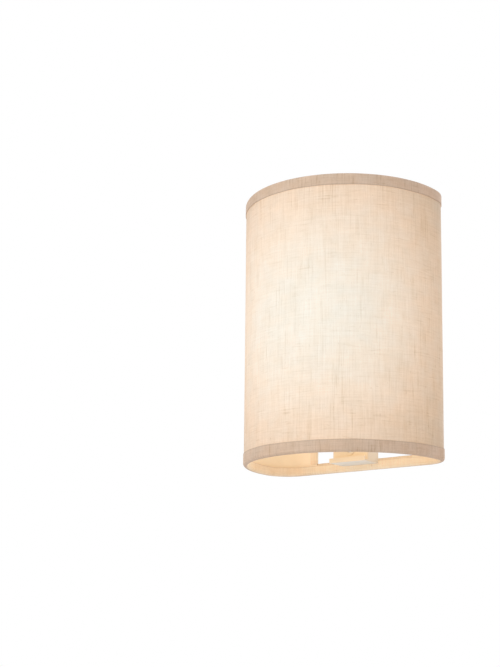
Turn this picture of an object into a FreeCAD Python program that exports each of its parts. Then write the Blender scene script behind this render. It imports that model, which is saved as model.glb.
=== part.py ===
"""Half-round fabric wall light: a linen hardback shade that hooks on a sheet steel bracket.

Millimetres. +Z is up, the wall is the plane y = 0 and the room lies towards -Y. The origin is
on the wall, midway between the two slots of the mounting strap and at the light's mid height.
"""
import FreeCAD
import Part
import math
import os

V = FreeCAD.Vector
UP, DOWN = V(0, 0, 1), V(0, 0, -1)
TO_ROOM, TO_WALL = V(0, -1, 0), V(0, 1, 0)

# ---- shade: a D in plan, half round in front, with rounded back corners ----
shade_width = 200.0
side_depth = 30.0  # from the shade's back to where the half round begins
shade_height = 260.0
back_corner_radius = 27.0
wall_gap = 1.0
linen_thickness = 0.6
liner_thickness = 0.8
glue_line = 0.1
opening_clearance = 3.0  # between the back plate's rim and the laminate's upright back edges
binding_width = 8.0

# ---- shade edges: a wire ring rolled into a band of the same linen ----
ring_wire = 3.0
trim_thickness = 0.6
trim_height = 11.0
hem_height = 8.5

# ---- hanger: a bent wire that drops from the top ring and hooks on the bracket ----
hanger_wire = 3.0
hanger_span = 60.0
hanger_drop = 20.0  # from the shade's top edge to the hooked stretch
hanger_stand_off = 19.0  # from the wall to the hooked stretch
hanger_bend = 5.0
shade_lift = 10.0  # travel that frees the hanger

# ---- bracket: a steel channel open to the wall, with a lip at its foot ----
channel_width = 40.0
channel_gauge = 1.5
channel_stand_off = 27.0  # from the wall to the front of the web
channel_bend = 2.0
foot_rise = 5.0  # from the shade's lower edge to the underside of the foot
lip_reach = 6.0
lip_height = 4.5
foot_length = 14.0
foot_width = 14.0
foot_spacing = 110.0
band_clearance = 1.0  # between the bracket and the shade's hem
slot_clearance = 0.3

# ---- back plate: a shallow steel pan over the wiring ----
plate_width = 104.0
plate_height = 150.0
plate_depth = 14.0
plate_gauge = 1.0
plate_corner = 8.0
plate_edge = 2.0

# ---- mounting strap, screwed to the wall box ----
strap_width = 16.0
strap_gauge = 1.5
strap_slot_spacing = 79.4
strap_slot_length = 14.0
strap_slot_width = 4.6
ear_depth = 11.0
ear_clearance = 0.3
side_screw_depth = 7.0  # from the wall to the side screws' axis

# ---- lampholder and its arm ----
lamp_stand_off = 72.0
arm_rise = 30.0  # from the shade's lower edge to the arm's underside
arm_width = 24.0
arm_gauge = 2.0
arm_leg = 30.0
arm_bend = 3.0
arm_screw_spacing = 13.0
nipple_diameter = 9.8
nipple_bore = 6.6
nipple_length = 16.0
nipple_fit = 0.1
nut_across_flats = 14.0
nut_height = 4.0
washer_diameter = 17.0
washer_thickness = 0.8
socket_diameter = 36.0
socket_cap_height = 11.0
socket_cap_wall = 1.2
mouth_clearance = 0.8  # between the lampholder's mouth and the bulb's housing
shell_diameter = 28.4
shell_wall = 0.5
shell_clearance = 0.2
socket_floor = 6.0
contact_width = 7.0
contact_thickness = 0.5
contact_rise = 3.0
contact_gap = 0.3

# ---- bulb: screw cap, plastic housing and frosted dome ----
cap_diameter = 26.0
cap_length = 22.0
cap_wall = 0.4
thread_clearance = 0.6
bulb_diameter = 60.0
dome_wall = 1.2
housing_top_diameter = 56.0
housing_length = 38.0
housing_wall = 1.5
housing_lip = 0.8
insulator_height = 3.0
tip_diameter = 9.5
tip_height = 1.5
board_thickness = 1.6
board_fit = 0.3

# ---- small screws, bushings and wiring ----
screw_diameter = 4.0
screw_hole_clearance = 0.2
head_diameter = 7.6
head_height = 2.4
side_head_height = 1.7
lead_diameter = 2.3
lead_pitch = 2.7
lead_hole = 9.0
bushing_bore = 6.4
bushing_flange = 1.2
bushing_lip = 1.4
lead_level = 18.0  # from the shade's lower edge to the leads that run back to the bracket
lead_straight = 14.0  # straight stretch of a lead before it bends away or enters a connector
plate_hole_drop = 45.0
connector_diameter = 9.4
connector_length = 19.0
connector_pitch = 20.0
connector_rise = 14.0
terminal_thickness = 0.8
terminal_diameter = 8.4
ground_screw_rise = 40.0
ground_connector_offset = 32.0
ground_mouth_rise = 28.0

# ---- places worked out from the sizes above ----
shade_depth = shade_width / 2 + side_depth
opening_width = plate_width + 2 * opening_clearance
half_height = shade_height / 2
shade_bottom = -half_height
laminate = linen_thickness + glue_line + liner_thickness
ring_inset = laminate + glue_line + ring_wire / 2
hem_inset = laminate + glue_line + ring_wire + glue_line
roll_radius = (glue_line + hem_inset) / 2 + trim_thickness
roll_inset = (hem_inset - glue_line) / 2
roll_drop = roll_radius
ring_drop = roll_radius - 0.4
laminate_drop = roll_radius - 0.3
hem_y = -(wall_gap + hem_inset + trim_thickness)
web_y = -channel_stand_off
plate_y = -plate_depth
hanger_y = -hanger_stand_off
hanger_z = half_height - hanger_drop
foot_z = shade_bottom + foot_rise
channel_rear = hem_y - band_clearance
channel_top = hanger_z - hanger_wire / 2 + shade_lift - 0.5
lamp_y = -lamp_stand_off
arm_z = shade_bottom + arm_rise
arm_top = arm_z + arm_gauge
cap_base = arm_top + washer_thickness
socket_base = cap_base + socket_cap_height
contact_z = socket_base + socket_floor + contact_rise
tip_z = contact_z + contact_gap
insulator_z = tip_z + tip_height
cap_z = insulator_z + insulator_height
housing_z = cap_z + cap_length
dome_z = housing_z + housing_length
socket_top = housing_z - mouth_clearance
lead_z = shade_bottom + lead_level
channel_mid_y = (web_y + channel_gauge + plate_y) / 2
pan_mid_y = -plate_depth / 2 - 0.5


def box(x0, x1, y0, y1, z0, z1):
    """A box between two corners."""
    return Part.makeBox(x1 - x0, y1 - y0, z1 - z0, V(x0, y0, z0))


def rod(base, along, diameter, length):
    """A round bar from base along a direction."""
    return Part.makeCylinder(diameter / 2, length, base, along)


def tube(base, along, outer, inner, length):
    """A round tube from base along a direction."""
    return rod(base, along, outer, length).cut(rod(base, along, inner, length))


def turned(profile, axis_y=0.0):
    """A body turned about the upright line x = 0, y = axis_y, from a closed (radius, z) profile."""
    corners = [V(radius, axis_y, z) for radius, z in profile]
    face = Part.Face(Part.makePolygon(corners + corners[:1]))
    return face.revolve(V(0, axis_y, 0), UP, 360)


def edges_where(shape, test):
    """The edges of a shape whose middle point passes a test."""
    return [e for e in shape.Edges if test(e, e.valueAt((e.FirstParameter + e.LastParameter) / 2))]


def is_upright(edge):
    """True for a straight edge that runs along Z."""
    if edge.Curve.TypeId != "Part::GeomLine":
        return False
    return abs(edge.tangentAt(edge.FirstParameter).z) > 0.999


def pan_screw(seat, along, length, height=head_height):
    """A pan head screw: its head stands on the seat, and its shank runs along the direction."""
    shank = rod(seat, along, screw_diameter, length)
    head = rod(seat - along * height, along, head_diameter, height)
    rim = [e for e in head.Edges if (e.CenterOfMass - seat).Length > height * 0.9 and e.Closed]
    head = head.makeFillet(height * 0.4, rim)
    side = V(along.z, along.x, along.y)
    across = along.cross(side)
    slot_long, slot_wide, slot_deep = head_diameter * 0.7, 0.9, 0.9
    start = seat - along * height - side * (slot_long / 2) - across * (slot_wide / 2)
    slot = Part.makePolygon([start, start + side * slot_long, start + side * slot_long
                             + across * slot_wide, start + across * slot_wide, start])
    return head.cut(Part.Face(slot).extrude(along * slot_deep)).fuse(shank).removeSplitter()


def bent_path(points, radii):
    """Straight runs between points, joined by tangent arcs of the given radii."""
    edges = []
    last = points[0]
    for i in range(1, len(points) - 1):
        into = (points[i] - points[i - 1]).normalize()
        out = (points[i + 1] - points[i]).normalize()
        turn = into.getAngle(out)
        cut = radii[i - 1] * math.tan(turn / 2)
        start, end = points[i] - into * cut, points[i] + out * cut
        inward = (out - into).normalize()
        reach = radii[i - 1] / math.cos(turn / 2) - radii[i - 1]
        edges.append(Part.LineSegment(last, start).toShape())
        edges.append(Part.Arc(start, points[i] + inward * reach, end).toShape())
        last = end
    edges.append(Part.LineSegment(last, points[-1]).toShape())
    return Part.Wire(edges)


def bent_wire(points, radii, diameter):
    """A round wire along a bent path."""
    path = bent_path(points, radii)
    along = (points[1] - points[0]).normalize()
    ring = Part.Wire(Part.makeCircle(diameter / 2, points[0], along))
    return path.makePipeShell([ring], True, False)


# ---- the D plan ----
def d_wire(inset, z):
    """The shade's plan, drawn in from the linen's outer face by inset, starting at the back."""
    half = shade_width / 2 - inset
    corner = min(back_corner_radius, side_depth - 1) - inset
    back = -(wall_gap + inset)
    centre = -(wall_gap + shade_depth - shade_width / 2)
    slant = math.sqrt(0.5)

    def at(x, y):
        return V(x, y, z)

    def corner_arc(side):
        middle = at(side * (half - corner + corner * slant), back - corner + corner * slant)
        return Part.Arc(at(side * (half - corner), back), middle, at(side * half, back - corner))

    def front_arc(side):
        middle = at(side * half * slant, centre - half * slant)
        return Part.Arc(at(side * half, centre), middle, at(0, centre - half))

    parts = [
        Part.LineSegment(at(0, back), at(half - corner, back)), corner_arc(1),
        Part.LineSegment(at(half, back - corner), at(half, centre)), front_arc(1), front_arc(-1),
        Part.LineSegment(at(-half, centre), at(-half, back - corner)), corner_arc(-1),
        Part.LineSegment(at(-half + corner, back), at(0, back)),
    ]
    return Part.Wire(Part.__sortEdges__([p.toShape() for p in parts]))


def d_wall(outer_inset, inner_inset, z0, z1):
    """An upright wall between two D plans."""
    outer = Part.Face(d_wire(outer_inset, z0)).extrude(V(0, 0, z1 - z0))
    inner = Part.Face(d_wire(inner_inset, z0)).extrude(V(0, 0, z1 - z0))
    return outer.cut(inner)


def back_opening():
    """The space between the laminate's upright back edges, over the whole height."""
    return box(-opening_width / 2, opening_width / 2, -(wall_gap + laminate + ring_wire), 1.0,
               shade_bottom - 1, half_height + 1)


def laminate_layer(outer_inset, inner_inset):
    """One layer of the shade's wall, open at the back."""
    top = half_height - laminate_drop
    return d_wall(outer_inset, inner_inset, -top, top).cut(back_opening())


def linen_cover():
    return laminate_layer(0.0, linen_thickness)


def styrene_liner():
    return laminate_layer(linen_thickness + glue_line, laminate)


def shade_ring(side):
    """The wire ring in the shade's top (side 1) or bottom (side -1) edge."""
    z = side * (half_height - ring_drop)
    path = d_wire(ring_inset, z)
    start = V(0, -(wall_gap + ring_inset), z)
    section = Part.Wire(Part.makeCircle(ring_wire / 2, start, V(1, 0, 0)))
    return path.makePipeShell([section], True, False)


def shade_trim(side):
    """The band rolled over the ring: an outer leaf, a half round roll and a shorter hem inside."""
    edge = side * half_height
    roll_z = edge - side * roll_drop
    y_mid = -(wall_gap + roll_inset)
    outer, inner = roll_radius, roll_radius - trim_thickness

    def at(offset, z):
        return V(0, y_mid + offset, z)

    leaf_z = edge - side * trim_height
    hem_z = edge - side * hem_height
    section = Part.Wire([
        Part.LineSegment(at(outer, leaf_z), at(outer, roll_z)).toShape(),
        Part.Arc(at(outer, roll_z), at(0, roll_z + side * outer), at(-outer, roll_z)).toShape(),
        Part.LineSegment(at(-outer, roll_z), at(-outer, hem_z)).toShape(),
        Part.LineSegment(at(-outer, hem_z), at(-inner, hem_z)).toShape(),
        Part.LineSegment(at(-inner, hem_z), at(-inner, roll_z)).toShape(),
        Part.Arc(at(-inner, roll_z), at(0, roll_z + side * inner), at(inner, roll_z)).toShape(),
        Part.LineSegment(at(inner, roll_z), at(inner, leaf_z)).toShape(),
        Part.LineSegment(at(inner, leaf_z), at(outer, leaf_z)).toShape(),
    ])
    return d_wire(roll_inset, roll_z).makePipeShell([section], True, False)


def edge_bindings():
    """Folded tapes over the laminate's two upright back edges, between the bands."""
    tall = half_height - trim_height - glue_line
    front = -(wall_gap + laminate + glue_line)
    back = -(wall_gap - glue_line)
    tapes = []
    for side in (-1, 1):
        x_edge = opening_width / 2 - glue_line
        x0, x1 = x_edge - trim_thickness, x_edge + binding_width - trim_thickness
        lo, hi = sorted((side * x0, side * x1))
        tape = box(lo, hi, front - trim_thickness, back + trim_thickness, -tall, tall)
        lo, hi = sorted((side * x_edge, side * x1))
        tapes.append(tape.cut(box(lo, hi, front, back, -tall, tall)))
    return Part.makeCompound(tapes)


def shade_hanger():
    """Down from the top ring, forward, across through the bracket's slots, and back up."""
    top = half_height - ring_drop - ring_wire / 2
    y_ring = -(wall_gap + ring_inset)
    half = hanger_span / 2
    route = [V(-half, y_ring, top), V(-half, y_ring, hanger_z), V(-half, hanger_y, hanger_z),
             V(half, hanger_y, hanger_z), V(half, y_ring, hanger_z), V(half, y_ring, top)]
    return bent_wire(route, [hanger_bend] * 4, hanger_wire)


# ---- back plate, strap and bracket ----
def side_screw_axis(side):
    """The seat and direction of a side screw on the back plate's rim."""
    return V(side * plate_width / 2, -side_screw_depth, 0), V(-side, 0, 0)


def foot_centres():
    """Where the bracket's four feet are screwed to the back plate."""
    x = channel_width / 2 + foot_length / 2
    return [(sx * x, sz * foot_spacing / 2) for sx in (-1, 1) for sz in (-1, 1)]


def rounded_block(width, height, depth, corner, edge):
    """A block against the wall with rounded upright corners and a softened front."""
    block = box(-width / 2, width / 2, -depth, 0, -height / 2, height / 2)
    corners = edges_where(block, lambda e, m: abs(abs(m.x) - width / 2) < 0.01
                          and abs(abs(m.z) - height / 2) < 0.01)
    block = block.makeFillet(corner, corners)
    front = edges_where(block, lambda e, m: abs(m.y + depth) < 0.01)
    return block.makeFillet(edge, front)


def back_plate():
    """The pan, with holes for its side screws, the bracket's screws, the leads and the earth."""
    pan = rounded_block(plate_width, plate_height, plate_depth, plate_corner, plate_edge)
    inside = rounded_block(plate_width - 2 * plate_gauge, plate_height - 2 * plate_gauge,
                           plate_depth - plate_gauge, plate_corner - plate_gauge,
                           plate_edge - plate_gauge / 2)
    pan = pan.cut(inside)
    through = plate_gauge + 2
    for side in (-1, 1):
        seat, along = side_screw_axis(side)
        pan = pan.cut(rod(seat - along, along, screw_diameter + 2 * screw_hole_clearance, through))
    for x, z in foot_centres() + [(0, ground_screw_rise)]:
        hole = screw_diameter + 2 * screw_hole_clearance
        pan = pan.cut(rod(V(x, plate_y - 1, z), TO_WALL, hole, through))
    return pan.cut(rod(V(0, plate_y - 1, -plate_hole_drop), TO_WALL, lead_hole, through))


def mounting_strap():
    """A flat strap with two slots for the wall box and an ear at each end for the side screws."""
    half = plate_width / 2 - plate_gauge - ear_clearance
    tall = strap_width / 2
    strap = box(-half, half, -strap_gauge, 0, -tall, tall)
    for side in (-1, 1):
        lo, hi = sorted((side * half, side * (half - strap_gauge)))
        strap = strap.fuse(box(lo, hi, -ear_depth, 0, -tall, tall))
    strap = strap.removeSplitter()
    bends = edges_where(strap, lambda e, m: is_upright(e) and abs(m.y) < 0.01
                        and abs(abs(m.x) - half) < 0.01)
    strap = strap.makeFillet(strap_gauge * 0.8, bends)
    for side in (-1, 1):
        run = (strap_slot_length - strap_slot_width) / 2
        centre = side * strap_slot_spacing / 2
        slot = box(centre - run, centre + run, -strap_gauge - 1, 1,
                   -strap_slot_width / 2, strap_slot_width / 2)
        for end in (-run, run):
            slot = slot.fuse(rod(V(centre + end, 1, 0), TO_ROOM, strap_slot_width,
                                 strap_gauge + 2))
        strap = strap.cut(slot)
        seat, along = side_screw_axis(side)
        strap = strap.cut(rod(seat, along, screw_diameter + 2 * screw_hole_clearance,
                              plate_gauge + ear_clearance + strap_gauge + 1))
    return strap


def side_screws():
    length = plate_gauge + ear_clearance + strap_gauge + 2
    return Part.makeCompound([pan_screw(*side_screw_axis(s), length, side_head_height)
                              for s in (-1, 1)])


def hanger_slot():
    """The slot in the bracket's sides that the hanger drops into, open at the top."""
    radius = hanger_wire / 2 + slot_clearance
    wide = channel_width + 2
    seat = V(-wide / 2, hanger_y, hanger_z)
    slot = rod(seat, V(1, 0, 0), 2 * radius, wide)
    return slot.fuse(box(-wide / 2, wide / 2, hanger_y - radius, hanger_y + radius,
                         hanger_z, channel_top + 1))


def arm_screw_places():
    """The heights of the two screws that hold the lampholder's arm on the web."""
    middle = arm_top + arm_leg / 2 + 1
    return [middle - arm_screw_spacing / 2, middle + arm_screw_spacing / 2]


def shade_bracket():
    """The channel: web, two sides, four feet on the back plate and a closed foot with a lip."""
    half = channel_width / 2
    body = box(-half, half, web_y, channel_rear, foot_z, channel_top)
    bends = edges_where(body, lambda e, m: is_upright(e) and abs(m.y - web_y) < 0.01)
    body = body.makeFillet(channel_bend, bends)
    hollow = box(-half + channel_gauge, half - channel_gauge, web_y + channel_gauge,
                 channel_rear + 1, foot_z + channel_gauge, channel_top + 1)
    inner = edges_where(hollow, lambda e, m: is_upright(e) and abs(m.y - web_y - channel_gauge)
                        < 0.01)
    body = body.cut(hollow.makeFillet(channel_bend - channel_gauge / 2, inner))
    # the sides stop at the back plate's face where it is behind them
    relief = plate_height / 2 + band_clearance
    body = body.cut(box(-half - 1, half + 1, plate_y, 1, -relief, relief))
    lip_y = web_y - lip_reach
    floor = box(-half, half, lip_y, web_y + channel_gauge, foot_z, foot_z + channel_gauge)
    lip = box(-half, half, lip_y, lip_y + channel_gauge, foot_z, foot_z + lip_height)
    body = body.fuse([floor, lip])
    for x, z in foot_centres():
        x0, x1 = sorted((math.copysign(half - channel_gauge, x),
                         math.copysign(half + foot_length, x)))
        body = body.fuse(box(x0, x1, plate_y - channel_gauge, plate_y,
                             z - foot_width / 2, z + foot_width / 2))
    body = body.removeSplitter()
    for x, z in foot_centres():
        body = body.cut(rod(V(x, plate_y - channel_gauge - 1, z), TO_WALL,
                            screw_diameter + 2 * screw_hole_clearance, channel_gauge + 2))
    for z in arm_screw_places():
        body = body.cut(rod(V(0, web_y - 1, z), TO_WALL,
                            screw_diameter + 2 * screw_hole_clearance, channel_gauge + 2))
    body = body.cut(rod(V(0, web_y - 1, lead_z), TO_WALL, lead_hole, channel_gauge + 2))
    return body.cut(hanger_slot())


def bracket_screws():
    """Four screws through the bracket's feet into the back plate."""
    length = channel_gauge + plate_gauge + 3
    return Part.makeCompound([pan_screw(V(x, plate_y - channel_gauge, z), TO_WALL, length)
                              for x, z in foot_centres()])


def ground_screw():
    """The earth screw, driven from inside the pan, its tail hidden in the bracket."""
    seat = V(0, plate_y + plate_gauge + terminal_thickness, ground_screw_rise)
    return pan_screw(seat, TO_ROOM, plate_gauge + terminal_thickness + 4)


def bushing(seat, along, wall):
    """A snap bushing through a wall: a flange on the seat, a barrel and a small lip beyond."""
    barrel = lead_hole - 2 * nipple_fit
    shape = rod(seat - along * bushing_flange, along, lead_hole + 2 * bushing_lip, bushing_flange)
    shape = shape.fuse(rod(seat, along, barrel, wall + bushing_flange))
    shape = shape.cut(rod(seat - along * (bushing_flange + 1), along, bushing_bore,
                          wall + 2 * bushing_flange + 2))
    rim = [e for e in shape.Edges if e.Closed
           and abs((e.CenterOfMass - seat).dot(along) + bushing_flange) < 0.01]
    return shape.makeFillet(bushing_flange * 0.4, rim)


def plate_bushing():
    return bushing(V(0, plate_y, -plate_hole_drop), TO_WALL, plate_gauge)


def web_bushing():
    return bushing(V(0, web_y, lead_z), TO_WALL, channel_gauge)


# ---- lampholder ----
def holder_arm():
    """An angle: its upright leg on the web, its level leg under the lampholder."""
    half = arm_width / 2
    front = lamp_y - half
    leg = box(-half, half, web_y - arm_gauge, web_y, arm_z, arm_top + arm_leg)
    shelf = box(-half, half, front, web_y, arm_z, arm_top)
    arm = leg.fuse(shelf).removeSplitter()

    def level_along_x(edge):
        return abs(edge.tangentAt(edge.FirstParameter).x) > 0.999

    outer = edges_where(arm, lambda e, m: level_along_x(e) and abs(m.y - web_y) < 0.01
                        and abs(m.z - arm_z) < 0.01)
    inner = edges_where(arm, lambda e, m: level_along_x(e) and abs(m.y - web_y + arm_gauge) < 0.01
                        and abs(m.z - arm_top) < 0.01)
    arm = arm.makeFillet(arm_bend, outer).makeFillet(arm_bend - arm_gauge, inner)
    round_front = edges_where(arm, lambda e, m: is_upright(e) and abs(m.y - front) < 0.01)
    arm = arm.makeFillet(half - 0.1, round_front)
    hole = nipple_diameter + 2 * nipple_fit
    arm = arm.cut(rod(V(0, lamp_y, arm_z - 1), UP, hole, arm_gauge + 2))
    for z in arm_screw_places():
        arm = arm.cut(rod(V(0, web_y - arm_gauge - 1, z), TO_WALL,
                          screw_diameter + 2 * screw_hole_clearance, arm_gauge + 2))
    return arm


def arm_screws():
    length = arm_gauge + channel_gauge + 2
    return Part.makeCompound([pan_screw(V(0, web_y - arm_gauge, z), TO_WALL, length)
                              for z in arm_screw_places()])


def holder_nipple():
    """The threaded tube that ties the lampholder to its arm and carries the leads."""
    base = V(0, lamp_y, arm_z - nut_height - 1)
    return tube(base, UP, nipple_diameter, nipple_bore, nipple_length)


def nipple_nut():
    radius = nut_across_flats / 2 / math.cos(math.pi / 6)
    corners = [V(radius * math.cos(math.radians(a)), lamp_y + radius * math.sin(math.radians(a)),
                 arm_z - nut_height) for a in range(0, 361, 60)]
    nut = Part.Face(Part.makePolygon(corners)).extrude(V(0, 0, nut_height))
    hole = nipple_diameter + 2 * nipple_fit
    return nut.cut(rod(V(0, lamp_y, arm_z - nut_height - 1), UP, hole, nut_height + 2))


def lock_washer():
    hole = nipple_diameter + 2 * nipple_fit
    return tube(V(0, lamp_y, arm_top), UP, washer_diameter, hole, washer_thickness)


def socket_cap():
    """The metal cup under the lampholder, with a hub that screws on the nipple."""
    outer = socket_diameter / 2
    hub = nipple_diameter / 2 + nipple_fit
    hub_outer = hub + 2.5
    z0, z1 = cap_base, socket_base
    hub_top = z0 + 6.0
    return turned([(hub, z0), (outer - 4, z0), (outer, z0 + 4), (outer, z1),
                   (outer - socket_cap_wall, z1), (outer - socket_cap_wall, z0 + 4.5),
                   (outer - 4.5, z0 + socket_cap_wall), (hub_outer, z0 + socket_cap_wall),
                   (hub_outer, hub_top), (hub, hub_top)], lamp_y)


def socket_body():
    """The moulded holder: a cup with a thick floor, a rolled mouth and a hole for the leads."""
    outer = socket_diameter / 2
    bore = shell_diameter / 2 + shell_clearance
    z0, z1 = socket_base, socket_top
    floor = z0 + socket_floor
    lead_way = nipple_bore / 2
    body = turned([(lead_way, z0), (outer - 1, z0), (outer, z0 + 1), (outer, z1 - 6),
                   (outer + 2, z1 - 5), (outer + 2, z1 - 1), (outer + 1, z1),
                   (bore + 1, z1), (bore, z1 - 1), (bore, floor), (lead_way, floor)], lamp_y)
    return body


def screw_shell():
    """The brass shell that the bulb's cap screws into."""
    outer = shell_diameter / 2
    base = socket_base + socket_floor
    top = socket_top - 3.0
    floor_hole = contact_width / 2 + 4.5
    return turned([(floor_hole, base), (outer, base), (outer, top), (outer - shell_wall, top),
                   (outer - shell_wall, base + shell_wall), (floor_hole, base + shell_wall)],
                  lamp_y)


def centre_contact():
    """A brass tongue riveted to the floor, rising to the bulb's tip."""
    base = socket_base + socket_floor
    half = contact_width / 2
    reach = nipple_bore / 2 + 3.5
    flat_end = nipple_bore / 2 + 0.6
    top = contact_z
    thick = contact_thickness
    side = [(-reach, base), (-flat_end, base), (-flat_end + 2.0, top - thick),
            (flat_end, top - thick), (flat_end, top), (-flat_end + 1.7, top),
            (-flat_end - 0.3, base + thick), (-reach, base + thick)]
    corners = [V(-half, lamp_y + along, z) for along, z in side]
    return Part.Face(Part.makePolygon(corners + corners[:1])).extrude(V(contact_width, 0, 0))


# ---- bulb ----
def bulb_contact():
    return turned([(0, tip_z), (tip_diameter / 4, tip_z), (tip_diameter / 2, insulator_z),
                   (0, insulator_z)], lamp_y)


def bulb_insulator():
    """The glass bead between the tip and the screw cap."""
    return turned([(0, insulator_z), (tip_diameter / 2 + 0.3, insulator_z),
                   (cap_diameter / 2 - 3, cap_z), (0, cap_z)], lamp_y)


def bulb_cap():
    """The screw cap, a thin metal cup."""
    outer = cap_diameter / 2
    inner = outer - cap_wall
    top = housing_z
    return turned([(0, cap_z), (outer - 3, cap_z), (outer, cap_z + 3), (outer, top),
                   (inner, top), (inner, cap_z + 3.2), (outer - 3.2, cap_z + cap_wall),
                   (0, cap_z + cap_wall)], lamp_y)


def flare(radius_low, radius_high, z_low, z_high):
    """The lower and upper points and the arc between them of the housing's waisted flare."""
    middle_radius = radius_low + (radius_high - radius_low) * 0.38
    middle_z = z_low + (z_high - z_low) * 0.5
    return Part.Arc(V(radius_low, lamp_y, z_low), V(middle_radius, lamp_y, middle_z),
                    V(radius_high, lamp_y, z_high))


def bulb_housing():
    """The plastic body between cap and dome, a thin shell that flares to the dome."""
    low, high = cap_diameter / 2 + housing_lip, housing_top_diameter / 2
    outer = flare(low, high, housing_z, dome_z)
    inner = flare(low - housing_wall, high - housing_wall, housing_z, dome_z)
    top = Part.LineSegment(V(high, lamp_y, dome_z), V(high - housing_wall, lamp_y, dome_z))
    base = Part.LineSegment(V(low - housing_wall, lamp_y, housing_z), V(low, lamp_y, housing_z))
    face = Part.Face(Part.Wire(Part.__sortEdges__(
        [edge.toShape() for edge in (outer, top, inner, base)])))
    return face.revolve(V(0, lamp_y, 0), UP, 360)


def bulb_dome():
    """The frosted dome, a thin shell a little over half a ball."""
    outer = bulb_diameter / 2
    inner = outer - dome_wall
    lip = housing_top_diameter / 2
    centre = dome_z + math.sqrt(outer ** 2 - lip ** 2)
    lip_in = math.sqrt(inner ** 2 - (centre - dome_z) ** 2)

    def arc(radius, edge):
        middle = math.radians(20)
        return [Part.Arc(V(edge, lamp_y, dome_z),
                         V(radius * math.cos(middle), lamp_y, centre + radius * math.sin(middle)),
                         V(0, lamp_y, centre + radius)).toShape()]

    rim = Part.LineSegment(V(lip, lamp_y, dome_z), V(lip_in, lamp_y, dome_z)).toShape()
    crown = Part.LineSegment(V(0, lamp_y, centre + inner), V(0, lamp_y, centre + outer)).toShape()
    face = Part.Face(Part.Wire(Part.__sortEdges__(arc(outer, lip) + arc(inner, lip_in)
                                                  + [rim, crown])))
    return face.revolve(V(0, lamp_y, 0), UP, 360)


def led_board():
    """The disc of lamps that closes the housing, under the dome."""
    low = cap_diameter / 2 + housing_lip - housing_wall
    wall = flare(low, housing_top_diameter / 2 - housing_wall, housing_z, dome_z).toShape().Curve
    base = dome_z - board_thickness
    across = math.sqrt(wall.Radius ** 2 - (base - wall.Center.z) ** 2)
    radius = wall.Center.x - across - board_fit
    return rod(V(0, lamp_y, base), UP, 2 * radius, board_thickness)


# ---- wiring ----
def lamp_lead(side):
    """From the lampholder down the nipple, back into the bracket and up into the pan."""
    x = side * lead_pitch / 2
    x_end = side * connector_pitch / 2
    start = socket_base + 1
    middle = -plate_hole_drop
    route = [V(x, lamp_y, start), V(x, lamp_y, lead_z), V(x, channel_mid_y, lead_z),
             V(x, channel_mid_y, middle), V(x, pan_mid_y, middle),
             V(x, pan_mid_y, middle + lead_straight),
             V(x_end, pan_mid_y, connector_rise - lead_straight),
             V(x_end, pan_mid_y, connector_rise)]
    return bent_wire(route, [7, 5, 4, 4, 5, 5], lead_diameter)


def ground_lead():
    """A crimped ring under the earth screw and a lead across the pan to its connector."""
    y = plate_y + plate_gauge
    ring = rod(V(0, y, ground_screw_rise), TO_WALL, terminal_diameter, terminal_thickness)
    ring = ring.cut(rod(V(0, y - 1, ground_screw_rise), TO_WALL,
                        screw_diameter + 2 * screw_hole_clearance, terminal_thickness + 2))
    neck = terminal_diameter / 2
    crimp = box(neck - 1.0, neck + 5, y, y + terminal_thickness, ground_screw_rise - 1.5,
                ground_screw_rise + 1.5)
    y_lead = y + terminal_thickness + lead_diameter / 2 - 0.3
    x_end = ground_connector_offset
    z = ground_screw_rise
    route = [V(neck + 1, y_lead, z), V(neck + 8, y_lead, z), V(x_end - 9, pan_mid_y, z),
             V(x_end, pan_mid_y, z), V(x_end, pan_mid_y, ground_mouth_rise - 6)]
    wire = bent_wire(route, [8, 8, 5], lead_diameter)
    return ring.fuse([crimp, wire]).removeSplitter()


def connector(x, y, z_mouth, along):
    """A twist-on connector: a tapered cap, ribbed on a real one, open at its mouth."""
    wide, narrow = connector_diameter / 2, connector_diameter * 0.36
    base = V(x, y, z_mouth)
    cap = Part.makeCone(wide, narrow, connector_length, base, along)
    return cap.cut(rod(base, along, lead_diameter * 2 + 1, connector_length * 0.6))


def wire_connectors():
    """Two over the lamp leads and one over the earth lead."""
    caps = [connector(side * connector_pitch / 2, pan_mid_y, connector_rise - 4, UP)
            for side in (-1, 1)]
    caps.append(connector(ground_connector_offset, pan_mid_y, ground_mouth_rise, DOWN))
    return Part.makeCompound(caps)


NODES = {
    "linen_cover": linen_cover,
    "styrene_liner": styrene_liner,
    "trim_top": lambda: shade_trim(1),
    "trim_bottom": lambda: shade_trim(-1),
    "ring_top": lambda: shade_ring(1),
    "ring_bottom": lambda: shade_ring(-1),
    "edge_bindings": edge_bindings,
    "shade_hanger": shade_hanger,
    "mounting_strap": mounting_strap,
    "side_screws": side_screws,
    "back_plate": back_plate,
    "ground_screw": ground_screw,
    "plate_bushing": plate_bushing,
    "shade_bracket": shade_bracket,
    "bracket_screws": bracket_screws,
    "web_bushing": web_bushing,
    "holder_arm": holder_arm,
    "arm_screws": arm_screws,
    "holder_nipple": holder_nipple,
    "nipple_nut": nipple_nut,
    "lock_washer": lock_washer,
    "socket_cap": socket_cap,
    "socket_body": socket_body,
    "screw_shell": screw_shell,
    "centre_contact": centre_contact,
    "lead_live": lambda: lamp_lead(-1),
    "lead_neutral": lambda: lamp_lead(1),
    "ground_lead": ground_lead,
    "wire_connectors": wire_connectors,
    "bulb_contact": bulb_contact,
    "bulb_insulator": bulb_insulator,
    "bulb_cap": bulb_cap,
    "bulb_housing": bulb_housing,
    "led_board": led_board,
    "bulb_dome": bulb_dome,
}


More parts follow.
